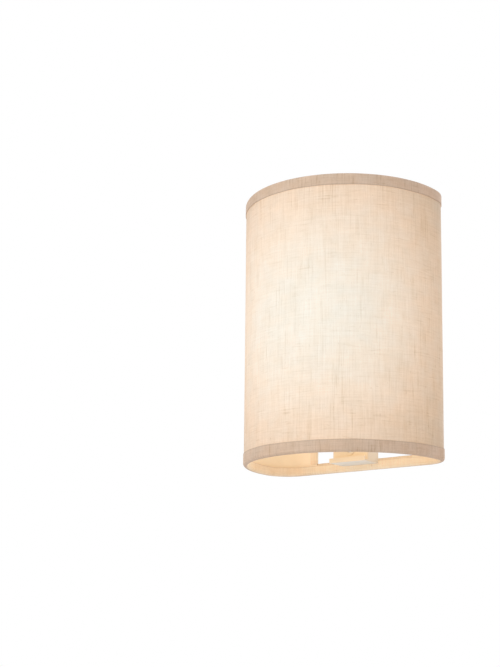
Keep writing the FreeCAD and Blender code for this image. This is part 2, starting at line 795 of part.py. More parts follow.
def main():
    os.makedirs("parts", exist_ok=True)
    for name, make in NODES.items():
        shape = make()
        solids = shape.Solids
        sound = shape.isValid() and all(s.Volume > 0 for s in solids) and len(solids) > 0
        print(f"{name:16s} solids {len(solids)} volume {shape.Volume:10.1f} "
              f"{'ok' if sound else 'NOT SOUND'}")
        shape.exportStep(os.path.join("parts", name + ".step"))


main()
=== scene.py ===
"""Looks of the half-round fabric wall light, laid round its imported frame.

Everything is in metres in the light's own frame: +Z up, the wall at y = 0, the room towards -Y.
"""

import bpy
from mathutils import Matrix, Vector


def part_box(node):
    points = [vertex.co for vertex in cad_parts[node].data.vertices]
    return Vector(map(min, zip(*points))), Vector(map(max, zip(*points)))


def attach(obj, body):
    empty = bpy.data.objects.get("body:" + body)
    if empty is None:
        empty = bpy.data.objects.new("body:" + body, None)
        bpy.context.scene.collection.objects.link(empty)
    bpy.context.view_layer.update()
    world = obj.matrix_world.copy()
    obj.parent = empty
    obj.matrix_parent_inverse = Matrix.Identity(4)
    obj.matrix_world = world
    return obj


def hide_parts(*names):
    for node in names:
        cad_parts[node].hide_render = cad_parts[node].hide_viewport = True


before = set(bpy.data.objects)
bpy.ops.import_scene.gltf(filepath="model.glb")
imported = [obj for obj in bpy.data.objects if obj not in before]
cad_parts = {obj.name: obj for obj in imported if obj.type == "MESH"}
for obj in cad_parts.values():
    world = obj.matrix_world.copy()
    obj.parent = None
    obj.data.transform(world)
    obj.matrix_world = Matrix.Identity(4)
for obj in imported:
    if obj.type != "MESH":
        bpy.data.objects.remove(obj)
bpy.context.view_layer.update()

import math

import bpy
from mathutils import Vector, noise

bl_info = {
    "name": "Half-round fabric wall light",
    "version": (1, 0, 0),
    "blender": (4, 5, 0),
    "location": "View3D > Sidebar > Wall light",
    "description": "Builds the linen shade, trims, bracket finish and bulb of a wall light",
    "category": "Object",
}

MM = 0.001

# what the frame says of the pieces that the cloth and the cap go round
COVER_LOW, COVER_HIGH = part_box("linen_cover")
TRIM_LOW, TRIM_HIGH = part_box("trim_top")
BINDING_LOW, BINDING_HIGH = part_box("edge_bindings")
LINER_LOW, LINER_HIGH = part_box("styrene_liner")
CAP_LOW, CAP_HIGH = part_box("bulb_cap")
SHADE_TOP = TRIM_HIGH.z
BAND_DEPTH = TRIM_HIGH.z - TRIM_LOW.z
LAMP_AXIS_Y = (CAP_LOW.y + CAP_HIGH.y) / 2
LINER_FILM = 0.8 * MM
LAMINATE = COVER_HIGH.x - LINER_HIGH.x + LINER_FILM
TAPE_WIDTH = 8.0 * MM

# the third cloth coordinate runs from 0 to 1 between a band's cut edges, and other cloth has this
CLOTH_MIDDLE = 0.5

# the lamp's light: its middle, how far it carries sideways and upwards, how fast it drops past
# its sideways reach, and how squarely a face has to look at it to take the inner glow
GLOW_MIDDLE = (8 * MM, LAMP_AXIS_Y, 2 * MM)
GLOW_REACH = 90 * MM
GLOW_RISE = 152 * MM
GLOW_DROP = 6.6
FACING_LAMP = (0.05, 0.5)

# glow of the lit cloth and film, as colours against the lamp's level there
COVER_GLOW = ((0.0, (0.0, 0.0, 0.0)), (0.25, (0.21, 0.115, 0.048)), (0.5, (0.365, 0.255, 0.172)),
              (0.75, (0.428, 0.372, 0.306)), (1.0, (0.432, 0.475, 0.455)))
BAND_GLOW = ((0.0, (0.01, 0.0, 0.0)), (0.15, (0.04, 0.003, 0.0)), (0.5, (0.065, 0.045, 0.04)),
             (1.0, (0.13, 0.10, 0.08)))
HEM_GLOW = ((0.0, (0.26, 0.18, 0.10)), (0.25, (0.38, 0.30, 0.19)), (1.0, (0.46, 0.38, 0.27)))
LINER_GLOW = ((0.0, (0.22, 0.14, 0.07)), (0.2, (0.38, 0.27, 0.18)), (1.0, (0.46, 0.38, 0.28)))

WHITE = (1.0, 1.0, 1.0, 1.0)
BLACK = (0.0, 0.0, 0.0, 1.0)

# the linen's threads: how many a metre, across the cloth and up it
WARP = (1150.0, 40.0)
WEFT = (46.0, 1150.0)
FINE_THREADS = (620.0, 560.0)
PATCHES = (62.0, 44.0)
SLUBS_UP = (760.0, 36.0)
SLUBS_ACROSS = (64.0, 700.0)
TONE_PATCHES = (72.0, 52.0)
TINTS = (58.0, 70.0)
FLECKS_UP = (820.0, 170.0)
FLECKS_ACROSS = (150.0, 860.0)
WEAVE_PITCH = 0.75 * MM

# the linen's colours, as shares of its own colour
THREAD_WARMTH = (0.77, 1.0, 1.40)
WARM_PATCH = (1.015, 0.99, 0.965, 1.0)
COOL_PATCH = (0.985, 1.0, 1.015, 1.0)
FLECK_COLOUR = (1.0, 0.92, 0.82, 1.0)
FLECK_DIMMING = 0.80

# the stage
FLOOR_Z = -0.46
FLOOR_REACH = 40.0
FLOOR_GREY = (0.80, 0.80, 0.80, 1.0)
FLOOR_SEEN_WHITE = 0.65
SKY_LIGHT = 0.55
SOFT_LAMP_SIZE = 2.2
SOFT_LAMP_AIM = Vector((0.0, -0.06, 0.0))
SOFT_LAMPS = (("key_lamp", (-1.5, -2.2, 1.0), 30.0),
              ("fill_lamp", (2.3, -1.6, 0.2), 18.0),
              ("rear_lamp", (0.4, 2.4, 0.9), 24.0))


# ---- settings a user would change ----
class WallLightSizes(bpy.types.PropertyGroup):
    """Sizes of the made pieces"""

    back_corner: bpy.props.FloatProperty(
        name="Back corner radius", description="Radius of the shade's two back corners",
        default=0.027, min=0.005, unit="LENGTH", subtype="DISTANCE")
    cloth: bpy.props.FloatProperty(
        name="Cloth thickness", description="Thickness of the linen and its bands",
        default=0.0006, min=0.0001, precision=5, unit="LENGTH", subtype="DISTANCE")
    band_cloth: bpy.props.FloatProperty(
        name="Band cloth thickness", description="Thickness of the ironed cloth of the bands",
        default=0.0004, min=0.0001, precision=5, unit="LENGTH", subtype="DISTANCE")
    glue_line: bpy.props.FloatProperty(
        name="Glue line", description="Gap between glued layers",
        default=0.0001, min=0.0, precision=5, unit="LENGTH", subtype="DISTANCE")
    hem: bpy.props.FloatProperty(
        name="Hem height", description="Height of the band's turned-in edge inside the shade",
        default=0.0085, min=0.001, precision=4, unit="LENGTH", subtype="DISTANCE")
    ring_wire: bpy.props.FloatProperty(
        name="Ring wire", description="Diameter of the wire rings in the rolled edges",
        default=0.003, min=0.001, precision=4, unit="LENGTH", subtype="DISTANCE")
    ripple: bpy.props.FloatProperty(
        name="Ripple", description="How far the glued bands stand off unevenly",
        default=0.00014, min=0.0, precision=5, unit="LENGTH", subtype="DISTANCE")
    mesh_step: bpy.props.FloatProperty(
        name="Mesh step", description="Spacing of the mesh lines on the cloth",
        default=0.0025, min=0.0005, precision=4, unit="LENGTH", subtype="DISTANCE")
    thread_pitch: bpy.props.FloatProperty(
        name="Cap thread pitch", description="Rise of the bulb's thread in one turn",
        default=0.00362, min=0.001, precision=5, unit="LENGTH", subtype="DISTANCE")


class WallLightColours(bpy.types.PropertyGroup):
    """Colours of the finishes"""

    linen: bpy.props.FloatVectorProperty(
        name="Linen", description="Natural linen of the cover", subtype="COLOR", size=3,
        default=(0.52, 0.42, 0.325), min=0.0, max=1.0)
    trim: bpy.props.FloatVectorProperty(
        name="Bands", description="Natural linen of the rolled bands", subtype="COLOR", size=3,
        default=(0.60, 0.446, 0.317), min=0.0, max=1.0)
    liner: bpy.props.FloatVectorProperty(
        name="Liner", description="White film inside the shade", subtype="COLOR", size=3,
        default=(0.74, 0.66, 0.52), min=0.0, max=1.0)
    paint: bpy.props.FloatVectorProperty(
        name="White paint", description="Powder coat on the bracket and plate", subtype="COLOR",
        size=3, default=(0.74, 0.685, 0.60), min=0.0, max=1.0)
    glow: bpy.props.FloatVectorProperty(
        name="Lamp light", description="Colour of the lamp's light on nearby faces",
        subtype="COLOR", size=3, default=(1.0, 0.62, 0.27), min=0.0, max=1.0)


# ---- shared effects, as node groups ----
class Nodes:
    """Short names for adding and linking the nodes of one tree."""

    def __init__(self, tree):
        self.tree = tree

    def add(self, kind, inputs=None, **settings):
        node = self.tree.nodes.new(kind)
        for name, value in settings.items():
            setattr(node, name, value)
        for name, value in (inputs or {}).items():
            self.put(node.inputs[name], value)
        return node

    def put(self, socket, value):
        if isinstance(value, bpy.types.NodeSocket):
            self.tree.links.new(value, socket)
        else:
            socket.default_value = value

    def maths(self, operation, first, second=None, clamp=False):
        node = self.add("ShaderNodeMath", operation=operation, use_clamp=clamp)
        self.put(node.inputs[0], first)
        if second is not None:
            self.put(node.inputs[1], second)
        return node.outputs[0]

    def vector(self, operation, first, second=None):
        node = self.add("ShaderNodeVectorMath", operation=operation)
        self.put(node.inputs[0], first)
        if second is not None:
            self.put(node.inputs[1], second)
        return node.outputs["Value" if operation in ("DOT_PRODUCT", "LENGTH") else "Vector"]

    def noise(self, place, scale, detail=2.0, roughness=0.5):
        return self.add("ShaderNodeTexNoise", {"Vector": place, "Scale": scale, "Detail": detail,
                                               "Roughness": roughness}).outputs["Fac"]

    def span(self, value, low, high, to_low=0.0, to_high=1.0):
        node = self.add("ShaderNodeMapRange", {"Value": value, "From Min": low, "From Max": high,
                                               "To Min": to_low, "To Max": to_high})
        return node.outputs["Result"]

    def mix(self, factor, first, second):
        node = self.add("ShaderNodeMix", data_type="RGBA")
        self.put(node.inputs["Factor"], factor)
        self.put(node.inputs["A"], first)
        self.put(node.inputs["B"], second)
        return node.outputs["Result"]


def add_ramp(nodes, value, stops):
    """Colours blended evenly between (place, colour) stops."""
    node = nodes.add("ShaderNodeValToRGB", {"Fac": value})
    marks = node.color_ramp.elements
    for i, (place, colour) in enumerate(stops):
        mark = marks[i] if i < len(marks) else marks.new(place)
        mark.position = place
        mark.color = (*colour, 1.0)
    return node.outputs["Color"]


def new_group(name, sockets_in, sockets_out):
    """An empty node group with named sockets; returns its nodes, input and output."""
    tree = bpy.data.node_groups.new(name, "ShaderNodeTree")
    for label, kind, default in sockets_in:
        socket = tree.interface.new_socket(label, in_out="INPUT", socket_type=kind)
        if default is not None:
            socket.default_value = default
    for label, kind in sockets_out:
        tree.interface.new_socket(label, in_out="OUTPUT", socket_type=kind)
    nodes = Nodes(tree)
    return nodes, nodes.add("NodeGroupInput"), nodes.add("NodeGroupOutput")


def linen_threads_group():
    """Plain-weave linen with slubs: a tone, a slow tint, a mask of dark flecks and a height."""
    nodes, given, out = new_group(
        "linen_threads", [("Cloth", "NodeSocketVector", None)],
        [("Tone", "NodeSocketFloat"), ("Tint", "NodeSocketFloat"),
         ("Flecks", "NodeSocketFloat"), ("Height", "NodeSocketFloat")])

    def threads(counts, detail=2.0):
        """Noise with those counts of features a metre, across the cloth and up it."""
        stretched = nodes.vector("MULTIPLY", given.outputs["Cloth"], (*counts, 1.0))
        return nodes.noise(stretched, 1.0, detail)

    def add_shares(total, shares):
        """The total with each value's share added."""
        for value, share in shares:
            total = nodes.maths("ADD", total, nodes.maths("MULTIPLY", value, share))
        return total

    # the values of the noise between which each effect fades in
    patch_fade, slub_up_fade, slub_across_fade = (0.36, 0.62), (0.55, 0.76), (0.58, 0.76)
    tone_patch_fade, tint_fade = (0.3, 0.7), (0.34, 0.66)
    fleck_up_fade, fleck_across_fade = (0.75, 0.81), (0.77, 0.83)
    # warp threads run up the shade and weft threads across it
    warp = threads(WARP)
    weft = threads(WEFT)
    # slubs are the thick lengths of a thread, and come in patches
    fewest_slubs = 0.25
    patchy = nodes.span(threads(PATCHES), *patch_fade, fewest_slubs, 1.0)
    slub_up = nodes.span(threads(SLUBS_UP), *slub_up_fade)
    slub_up = nodes.maths("MULTIPLY", slub_up, patchy)
    slub_across = nodes.span(threads(SLUBS_ACROSS), *slub_across_fade)
    slub_across = nodes.maths("MULTIPLY", slub_across, patchy)
    base_tone, tone_patch_depth = 0.02, 0.07
    tone = add_shares(base_tone, ((warp, 0.55), (weft, 0.40), (threads(FINE_THREADS), 0.22),
                                  (slub_up, -0.42), (slub_across, -0.34)))
    # slow patches where the linen's own tone is darker or paler
    tone_patch = nodes.span(threads(TONE_PATCHES, 3.0), *tone_patch_fade, -tone_patch_depth, tone_patch_depth)
    nodes.put(out.inputs["Tone"], nodes.maths("ADD", tone, tone_patch, clamp=True))
    nodes.put(out.inputs["Tint"], nodes.span(threads(TINTS, 1.0), *tint_fade))
    fleck_up = nodes.span(threads(FLECKS_UP, 1.0), *fleck_up_fade)
    fleck_across = nodes.span(threads(FLECKS_ACROSS, 1.0), *fleck_across_fade)
    nodes.put(out.inputs["Flecks"], nodes.maths("MAXIMUM", fleck_up, fleck_across))
    turns = 2 * math.pi / WEAVE_PITCH
    split = nodes.add("ShaderNodeSeparateXYZ", {"Vector": given.outputs["Cloth"]})
    along = nodes.maths("SINE", nodes.maths("MULTIPLY", split.outputs["X"], turns))
    up = nodes.maths("SINE", nodes.maths("MULTIPLY", split.outputs["Y"], turns))
    weave_share = 0.12
    weave = nodes.maths("MULTIPLY", nodes.maths("MULTIPLY", along, up), weave_share)
    nodes.put(out.inputs["Height"],
              add_shares(weave, ((warp, 0.9), (weft, 0.7), (slub_up, 0.5))))
    return nodes.tree


def lamp_light_group():
    """The lamp's light: its level at each place, and how squarely a face looks at it."""
    nodes, given, out = new_group(
        "lamp_light", [("Reach", "NodeSocketFloat", GLOW_REACH)],
        [("Level", "NodeSocketFloat"), ("On face", "NodeSocketFloat")])
    place = nodes.add("ShaderNodeTexCoord").outputs["Object"]
    away = nodes.vector("SUBTRACT", GLOW_MIDDLE, place)
    split = nodes.add("ShaderNodeSeparateXYZ", {"Vector": away})
    level_away = nodes.vector("MULTIPLY", away, (1.0, 1.0, 0.0))
    sideways = nodes.maths("DIVIDE", nodes.vector("LENGTH", level_away), given.outputs["Reach"])
    sideways = nodes.maths("ADD", nodes.maths("POWER", sideways, GLOW_DROP), 1.0)
    upright = nodes.maths("POWER", nodes.maths("DIVIDE", split.outputs["Z"], GLOW_RISE), 2.0)
    upright = nodes.maths("EXPONENT", nodes.maths("MULTIPLY", upright, -1.0))
    nodes.put(out.inputs["Level"], nodes.maths("DIVIDE", upright, sideways))
    normal = nodes.add("ShaderNodeNewGeometry").outputs["Normal"]
    facing = nodes.vector("DOT_PRODUCT", nodes.vector("NORMALIZE", level_away), normal)
    nodes.put(out.inputs["On face"], nodes.maths("MAXIMUM", facing, 0.0))
    return nodes.tree


def surface_wear_group():
    """Fine unevenness of a hard finish: a soft mottle and a fine grain."""
    nodes, given, out = new_group(
        "surface_wear",
        [("Mottle size", "NodeSocketFloat", 60.0), ("Grain size", "NodeSocketFloat", 1500.0)],
        [("Mottle", "NodeSocketFloat"), ("Grain", "NodeSocketFloat")])
    place = nodes.add("ShaderNodeTexCoord").outputs["Object"]
    nodes.put(out.inputs["Mottle"], nodes.noise(place, given.outputs["Mottle size"], 3.0, 0.6))
    nodes.put(out.inputs["Grain"], nodes.noise(place, given.outputs["Grain size"], 2.0, 0.5))
    return nodes.tree


def group_of(name, build):
    """The node group of that name, built once."""
    return bpy.data.node_groups.get(name) or build()


# ---- materials ----
def new_material(name, **sockets):
    """A material with a Principled BSDF whose plain sockets are set here."""
    made = bpy.data.materials.new(name)
    made.use_nodes = True
    made.node_tree.nodes.clear()
    nodes = Nodes(made.node_tree)
    shader = nodes.add("ShaderNodeBsdfPrincipled")
    output = nodes.add("ShaderNodeOutputMaterial", {"Surface": shader.outputs["BSDF"]})
    output.is_active_output = True
    for label, value in sockets.items():
        shader.inputs[label.replace("_", " ")].default_value = value
    return made, nodes, shader


def rgba(colour, gain):
    """The colour made lighter or darker, with its alpha."""
    return (*(min(1.0, channel * gain) for channel in colour), 1.0)


def add_lamp_light(nodes):
    """The lamp's level and the share that a face catches, for one material."""
    lamp = nodes.add("ShaderNodeGroup", node_tree=group_of("lamp_light", lamp_light_group))
    return lamp.outputs["Level"], lamp.outputs["On face"]


def add_surface_wear(nodes):
    """The mottle and grain group, placed in one material."""
    return nodes.add("ShaderNodeGroup", node_tree=group_of("surface_wear", surface_wear_group))


def cloth_material(name, colour, contrast, through_share, outside, inside, edge_glue_and_shadow):
    """Linen lit from behind: its glow follows the lamp's level, slubs and flecks dim it, and a
    painted shadow with a glue line darkens a band's cut edges.
    """
    made, nodes, shader = new_material(name, Sheen_Weight=0.15, Sheen_Roughness=0.5,
                                       Emission_Strength=1.0)
    cloth = nodes.add("ShaderNodeAttribute", attribute_name="cloth").outputs["Vector"]
    threads = nodes.add("ShaderNodeGroup",
                        node_tree=group_of("linen_threads", linen_threads_group))
    nodes.put(threads.inputs["Cloth"], cloth)
    tone, flecks = threads.outputs["Tone"], threads.outputs["Flecks"]
    dim = nodes.span(flecks, 0.0, 1.0, 1.0, FLECK_DIMMING)
    # painted shadow and glue line: the rolled bands are darkened, in colour and glow, along their
    # two cut edges
    edge_starts, edge_full = 0.455, 0.49
    across = nodes.add("ShaderNodeSeparateXYZ", {"Vector": cloth}).outputs["Z"]
    edge = nodes.maths("ABSOLUTE", nodes.maths("SUBTRACT", across, CLOTH_MIDDLE))
    edge_glue_and_shadow_dim = nodes.span(edge, edge_starts, edge_full, 1.0, edge_glue_and_shadow)
    dim = nodes.maths("MULTIPLY", dim, edge_glue_and_shadow_dim)
    # dark threads are warmer than pale ones
    dark = (*(1.0 - contrast * share for share in THREAD_WARMTH), 1.0)
    pale = (*(1.0 + contrast * share for share in THREAD_WARMTH), 1.0)
    change = nodes.vector("MULTIPLY", nodes.mix(tone, dark, pale), dim)
    tint = nodes.mix(threads.outputs["Tint"], WARM_PATCH, COOL_PATCH)
    tint = nodes.mix(flecks, tint, FLECK_COLOUR)
    look = nodes.vector("MULTIPLY", tint, change)
    nodes.put(shader.inputs["Base Color"], nodes.vector("MULTIPLY", look, tuple(colour)))
    # light from behind evens out what the threads add and take, most where it is strongest
    level, on_face = add_lamp_light(nodes)
    strong_level, strong_share = 0.6, 0.3
    share = nodes.span(level, strong_level, 1.0, through_share, through_share * strong_share)
    even = nodes.mix(share, WHITE, look)
    glow = nodes.mix(nodes.span(on_face, *FACING_LAMP), add_ramp(nodes, level, outside),
                     add_ramp(nodes, level, inside))
    nodes.put(shader.inputs["Emission Color"], nodes.vector("MULTIPLY", glow, even))
    bump = nodes.add("ShaderNodeBump", {"Strength": 0.55, "Distance": 0.35 * MM,
                                        "Height": threads.outputs["Height"]})
    nodes.put(shader.inputs["Normal"], bump.outputs["Normal"])
    rough_gap, rough_thread = 0.96, 0.80
    nodes.put(shader.inputs["Roughness"], nodes.span(tone, 0.0, 1.0, rough_gap, rough_thread))
    return made


def hard_material(name, colour, around=0.0, direct=0.0, mottle=0.06, bump=0.25, grain=1500.0,
                  rough=(0.35, 0.5), **sockets):
    """Paint, plastic or metal with a soft mottle and grain, warmed by the lamp near it."""
    lamp_lit = around > 0.0 or direct > 0.0
    made, nodes, shader = new_material(name, Emission_Strength=float(lamp_lit), **sockets)
    wear = add_surface_wear(nodes)
    wear.inputs["Grain size"].default_value = grain
    patch_low, patch_high = 0.3, 0.7
    base = nodes.mix(nodes.span(wear.outputs["Mottle"], patch_low, patch_high),
                     rgba(colour, 1.0 - mottle), rgba(colour, 1.0 + mottle))
    nodes.put(shader.inputs["Base Color"], base)
    nodes.put(shader.inputs["Roughness"],
              nodes.span(wear.outputs["Mottle"], patch_low, patch_high, *rough))
    lift = nodes.add("ShaderNodeBump", {"Strength": bump, "Distance": 0.1 * MM,
                                        "Height": wear.outputs["Grain"]})
    nodes.put(shader.inputs["Normal"], lift.outputs["Normal"])
    if lamp_lit:
        level, on_face = add_lamp_light(nodes)
        caught = nodes.maths("ADD", nodes.maths("MULTIPLY", on_face, direct), around)
        lit = nodes.maths("MULTIPLY", level, caught, clamp=True)
        glow = tuple(bpy.context.scene.wall_light_colours.glow)
        nodes.put(shader.inputs["Emission Color"], nodes.vector("MULTIPLY", glow, lit))
    return made


def liner_material(colour, inside):
    """White film that the lamp lights from inside, in a faint all-over mottle."""
    made = hard_material("white_liner_film", colour, mottle=0.03, bump=0.1, rough=(0.55, 0.7))
    nodes = Nodes(made.node_tree)
    shader = made.node_tree.nodes["Principled BSDF"]
    shader.inputs["Emission Strength"].default_value = 1.0
    level, on_face = add_lamp_light(nodes)
    glow = nodes.mix(nodes.span(on_face, *FACING_LAMP), BLACK, add_ramp(nodes, level, inside))
    nodes.put(shader.inputs["Emission Color"], glow)
    return made


def dress(node, material):
    """Gives a carried-over node its finish."""
    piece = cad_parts[node]
    piece.data.materials.clear()
    piece.data.materials.append(material)
    for face in piece.data.polygons:
        face.material_index = 0


# ---- the shade's plan ----
def shade_outline():
    """The D plan on the linen's outer face: (x, y, outward x, outward y, distance along)."""
    sizes = bpy.context.scene.wall_light_sizes
    half = COVER_HIGH.x
    corner = sizes.back_corner
    back = COVER_HIGH.y
    centre = COVER_LOW.y + half
    step = sizes.mesh_step
    points = []

    def straight(start, end, outward):
        """Even steps from the start up to the end."""
        start, end = Vector(start), Vector(end)
        count = max(1, round((end - start).length / step))
        for i in range(count):
            spot = start.lerp(end, i / count)
            points.append((spot.x, spot.y, *outward))

    def arc(middle, radius, first, last):
        """Even steps round the middle, from the first angle up to the last."""
        fewest = 4
        count = max(fewest, round(radius * abs(last - first) / step))
        for i in range(count):
            angle = first + (last - first) * i / count
            out = (math.cos(angle), math.sin(angle))
            points.append((middle[0] + radius * out[0], middle[1] + radius * out[1], *out))

    right = math.pi / 2
    straight((0, back), (half - corner, back), (0, 1))
    arc((half - corner, back - corner), corner, right, 0)
    straight((half, back - corner), (half, centre), (1, 0))
    arc((0, centre), half, 0, -math.pi)
    straight((-half, centre), (-half, back - corner), (-1, 0))
    arc((-half + corner, back - corner), corner, math.pi, right)
    straight((-half + corner, back), (0, back), (0, 1))
    outline, along = [], 0.0
    for i, point in enumerate(points):
        if i:
            along += math.dist(point[:2], points[i - 1][:2])
        outline.append((*point, along))
    return outline


def mesh_piece(name, corners, faces, cloth=None, smooth=True):
    """A mesh object, with the cloth's own coordinates kept as an attribute."""
    data = bpy.data.meshes.new(name)
    data.from_pydata(corners, [], faces)
    data.update()
    if cloth:
        layer = data.attributes.new("cloth", "FLOAT_VECTOR", "POINT")
        for spot, value in zip(layer.data, cloth):
            spot.vector = value
    for face in data.polygons:
        face.use_smooth = smooth
    piece = bpy.data.objects.new(name, data)
    bpy.context.scene.collection.objects.link(piece)
    return piece


def soften(piece, angle):
    """Keeps edges sharper than the angle crisp in a smooth-shaded piece."""
    data = piece.data
    data.update()
    limit = math.radians(angle)
    folds = {}
    for face in data.polygons:
        for key in face.edge_keys:
            folds.setdefault(key, []).append(face.normal)
    for edge in data.edges:
        normals = folds.get(tuple(sorted(edge.vertices)), [])
        if len(normals) == 2 and normals[0].angle(normals[1], 0.0) > limit:
            edge.use_edge_sharp = True


def swept_loop(rings, closed):
    """Faces between rings of equal counts; each ring is a closed section."""
    count = len(rings[0])
    corners = [corner for ring in rings for corner in ring]
    faces = []
    spans = len(rings) if closed else len(rings) - 1
    for i in range(spans):
        j = (i + 1) % len(rings)
        for k in range(count):
            m = (k + 1) % count
            faces.append((i * count + k, j * count + k, j * count + m, i * count + m))
    if not closed:
        faces.append(tuple(range(count)))
        last = (len(rings) - 1) * count
        faces.append(tuple(last + k for k in reversed(range(count))))
    return corners, faces


def uneven(x, y, z, size):
    """A repeatable soft unevenness from -1 to 1 with features of about the given size."""
    return noise.noise(Vector((x / size, y / size, z / size)))


def make_cover():
    """The linen round the shade, from one upright back edge to the other."""
    sizes = bpy.context.scene.wall_light_sizes
    wave, settled, wave_size, wave_stretch = 0.10 * MM, 0.08 * MM, 22 * MM, 0.35
    edge_x = BINDING_HIGH.x - TAPE_WIDTH + sizes.cloth
    opening = (LINER_LOW.x + LINER_HIGH.x) / 2 + edge_x
    back, near_back = COVER_HIGH.y, 0.1 * MM
    outline = [p for p in shade_outline() if p[1] < back - near_back or abs(p[0]) > opening]
    first, last = outline[0], outline[-1]
    outline.insert(0, (opening, back, 0.0, 1.0, first[4] - (first[0] - opening)))
    outline.append((-opening, back, 0.0, 1.0, last[4] - (last[0] + opening)))
    low, high = COVER_LOW.z, COVER_HIGH.z
    rows = round((high - low) / sizes.mesh_step)
    heights = [low + (high - low) * row / rows for row in range(rows + 1)]
    rings, cloth = [], []
    for x, y, out_x, out_y, along in outline:
        outer, inner = [], []
        for z in heights:
            off = wave * uneven(x, y, z * wave_stretch, wave_size) - settled
            outer.append((x + out_x * off, y + out_y * off, z))
            inner.append((x - out_x * sizes.cloth, y - out_y * sizes.cloth, z))
        rings.append(outer + inner[::-1])
        cloth.extend((along, z, CLOTH_MIDDLE) for z in heights + heights[::-1])
    corners, faces = swept_loop(rings, closed=False)
    piece = mesh_piece("linen_cover_cloth", corners, faces, cloth)
    soften(piece, 50.0)
    return piece


def band_section(sizes, ripple, lap, lift):
    """One cut through the rolled band, as (outward, height below the edge) round its outline."""
    cloth, glue = sizes.band_cloth, sizes.glue_line
    leaf_steps, roll_steps, hem_steps = 7, 10, 4
    leaf_press, roll_ripple, hem_lift = 0.7, 0.6, 1.5
    hem_inset = LAMINATE + 2 * glue + sizes.ring_wire
    roll = (glue + hem_inset) / 2 + cloth / 2
    middle = (hem_inset - glue) / 2
    leaf_low = BAND_DEPTH + lift
    path = []
    # up the outer leaf, which is pressed flattest at its cut edge
    for i in range(leaf_steps):
        down = leaf_low - (leaf_low - roll) * i / leaf_steps
        press = (1 - i / leaf_steps) ** 2
        off = ripple * (1 - leaf_press * press) + lap
        path.append((-middle + roll + off, down, 1.0, 0.0))
    # round the ring
    for i in range(roll_steps + 1):
        angle = math.pi * i / roll_steps
        radius = roll + ripple * roll_ripple + lap * (1 - i / roll_steps)
        path.append((-middle + radius * math.cos(angle), roll - radius * math.sin(angle),
                     math.cos(angle), -math.sin(angle)))
    # down the hem inside
    for i in range(1, hem_steps + 1):
        down = roll + (sizes.hem - roll + lift * hem_lift) * i / hem_steps
        path.append((-middle - roll, down, -1.0, 0.0))
    half = cloth / 2
    outer = [(o + n * half, d + m * half) for o, d, n, m in path]
    inner = [(o - n * half, d - m * half) for o, d, n, m in path]
    width = [0.0]
    for a, b in zip(path, path[1:]):
        width.append(width[-1] + math.dist(a[:2], b[:2]))
    return outer + inner[::-1], width + width[::-1]


def make_band(name, side, seed):
    """The band rolled over the ring at the top (side 1) or bottom (side -1) edge."""
    sizes = bpy.context.scene.wall_light_sizes
    outline = shade_outline()
    total = outline[-1][4]
    edge = side * SHADE_TOP
    # the band's last stretch laps over its start
    lap_length, lap_slope, lap_thickness = 11 * MM, 3 * MM, 0.22 * MM
    wave_size, slow_size, lift_size = 11 * MM, 35 * MM, 16 * MM
    wave_share, slow_share = 0.75, 0.25
    edge_wander, edge_drift = 0.30 * MM, 0.15 * MM
    room_to_wall = 0.26 * MM
    slow_slice, lift_slice = 0.3, 0.6
    rings, cloth = [], []
    for x, y, out_x, out_y, along in outline:
        wave = uneven(x + seed, y, 0.0, wave_size)
        slow = uneven(x, y + seed, slow_slice, slow_size)
        ripple = sizes.ripple * (wave_share * (0.5 + 0.5 * wave) + slow_share * (0.5 + 0.5 * slow))
        lapped = lap_length - (total - along)
        lap = lap_thickness * min(1.0, lapped / lap_slope) if lapped > 0.0 else 0.0
        faces_wall = out_y > 0.5
        if faces_wall:
            ripple = min(ripple, room_to_wall - lap)
        lift = edge_wander * uneven(x - seed, y, lift_slice, lift_size) + edge_drift * slow
        section, width = band_section(sizes, ripple, lap, lift)
        ring = [(x + out_x * off, y + out_y * off, edge - side * down) for off, down in section]
        rings.append(ring)
        cloth.extend((along, w + seed, w / max(width)) for w in width)
    corners, faces = swept_loop(rings, closed=True)
    if side > 0:
        faces = [face[::-1] for face in faces]
    piece = mesh_piece(name, corners, faces, cloth)
    soften(piece, 50.0)
    return piece


def make_bindings():
    """Folded tapes over the laminate's two upright back edges."""
    sizes = bpy.context.scene.wall_light_sizes
    front, back = BINDING_LOW.y, BINDING_HIGH.y
    cut_back, pressed = 0.4 * MM, 0.05 * MM
    edge, far = BINDING_HIGH.x - TAPE_WIDTH, BINDING_HIGH.x - cut_back
    thick = sizes.cloth - pressed
    rows = 60
    fold_side, fold_deep = 0.5 * MM, 0.6 * MM
    eased_side, eased_deep = 0.12 * MM, 0.15 * MM
    looseness, loose_size = 0.10 * MM, 12 * MM
    edge_wander, wander_size = 0.35 * MM, 20 * MM
    loose_slice, wander_slice = 0.2, 0.7
    cloth_step = 1.5 * MM
    corners, faces, cloth = [], [], []
    for side in (-1, 1):
        rings = []
        for row in range(rows + 1):
            z = BINDING_LOW.z + (BINDING_HIGH.z - BINDING_LOW.z) * row / rows
            loose = looseness * (0.5 + 0.5 * uneven(side, z, loose_slice, loose_size))
            reach = edge_wander * uneven(side, z, wander_slice, wander_size)
            outer = [(far + reach, back - loose / 2), (edge + fold_side, back - loose / 2),
                     (edge + eased_side, back - eased_deep), (edge, back - fold_deep),
                     (edge, front + fold_deep), (edge + eased_side, front + eased_deep),
                     (edge + fold_side, front), (far - reach, front + loose)]
            inner = [(far - reach, front + thick), (edge + thick, front + thick),
                     (edge + thick, back - thick), (far + reach, back - thick)]
            ring = [(side * x, y, z) for x, y in outer + inner]
            rings.append(ring)
            cloth.extend((k * cloth_step, z, CLOTH_MIDDLE) for k in range(len(ring)))
        base = len(corners)
        more, quads = swept_loop(rings, closed=False)
        if side < 0:
            quads = [q[::-1] for q in quads]
        corners.extend(more)
        faces.extend(tuple(base + k for k in q) for q in quads)
    piece = mesh_piece("edge_binding_tapes", corners, faces, cloth)
    soften(piece, 60.0)
    return piece


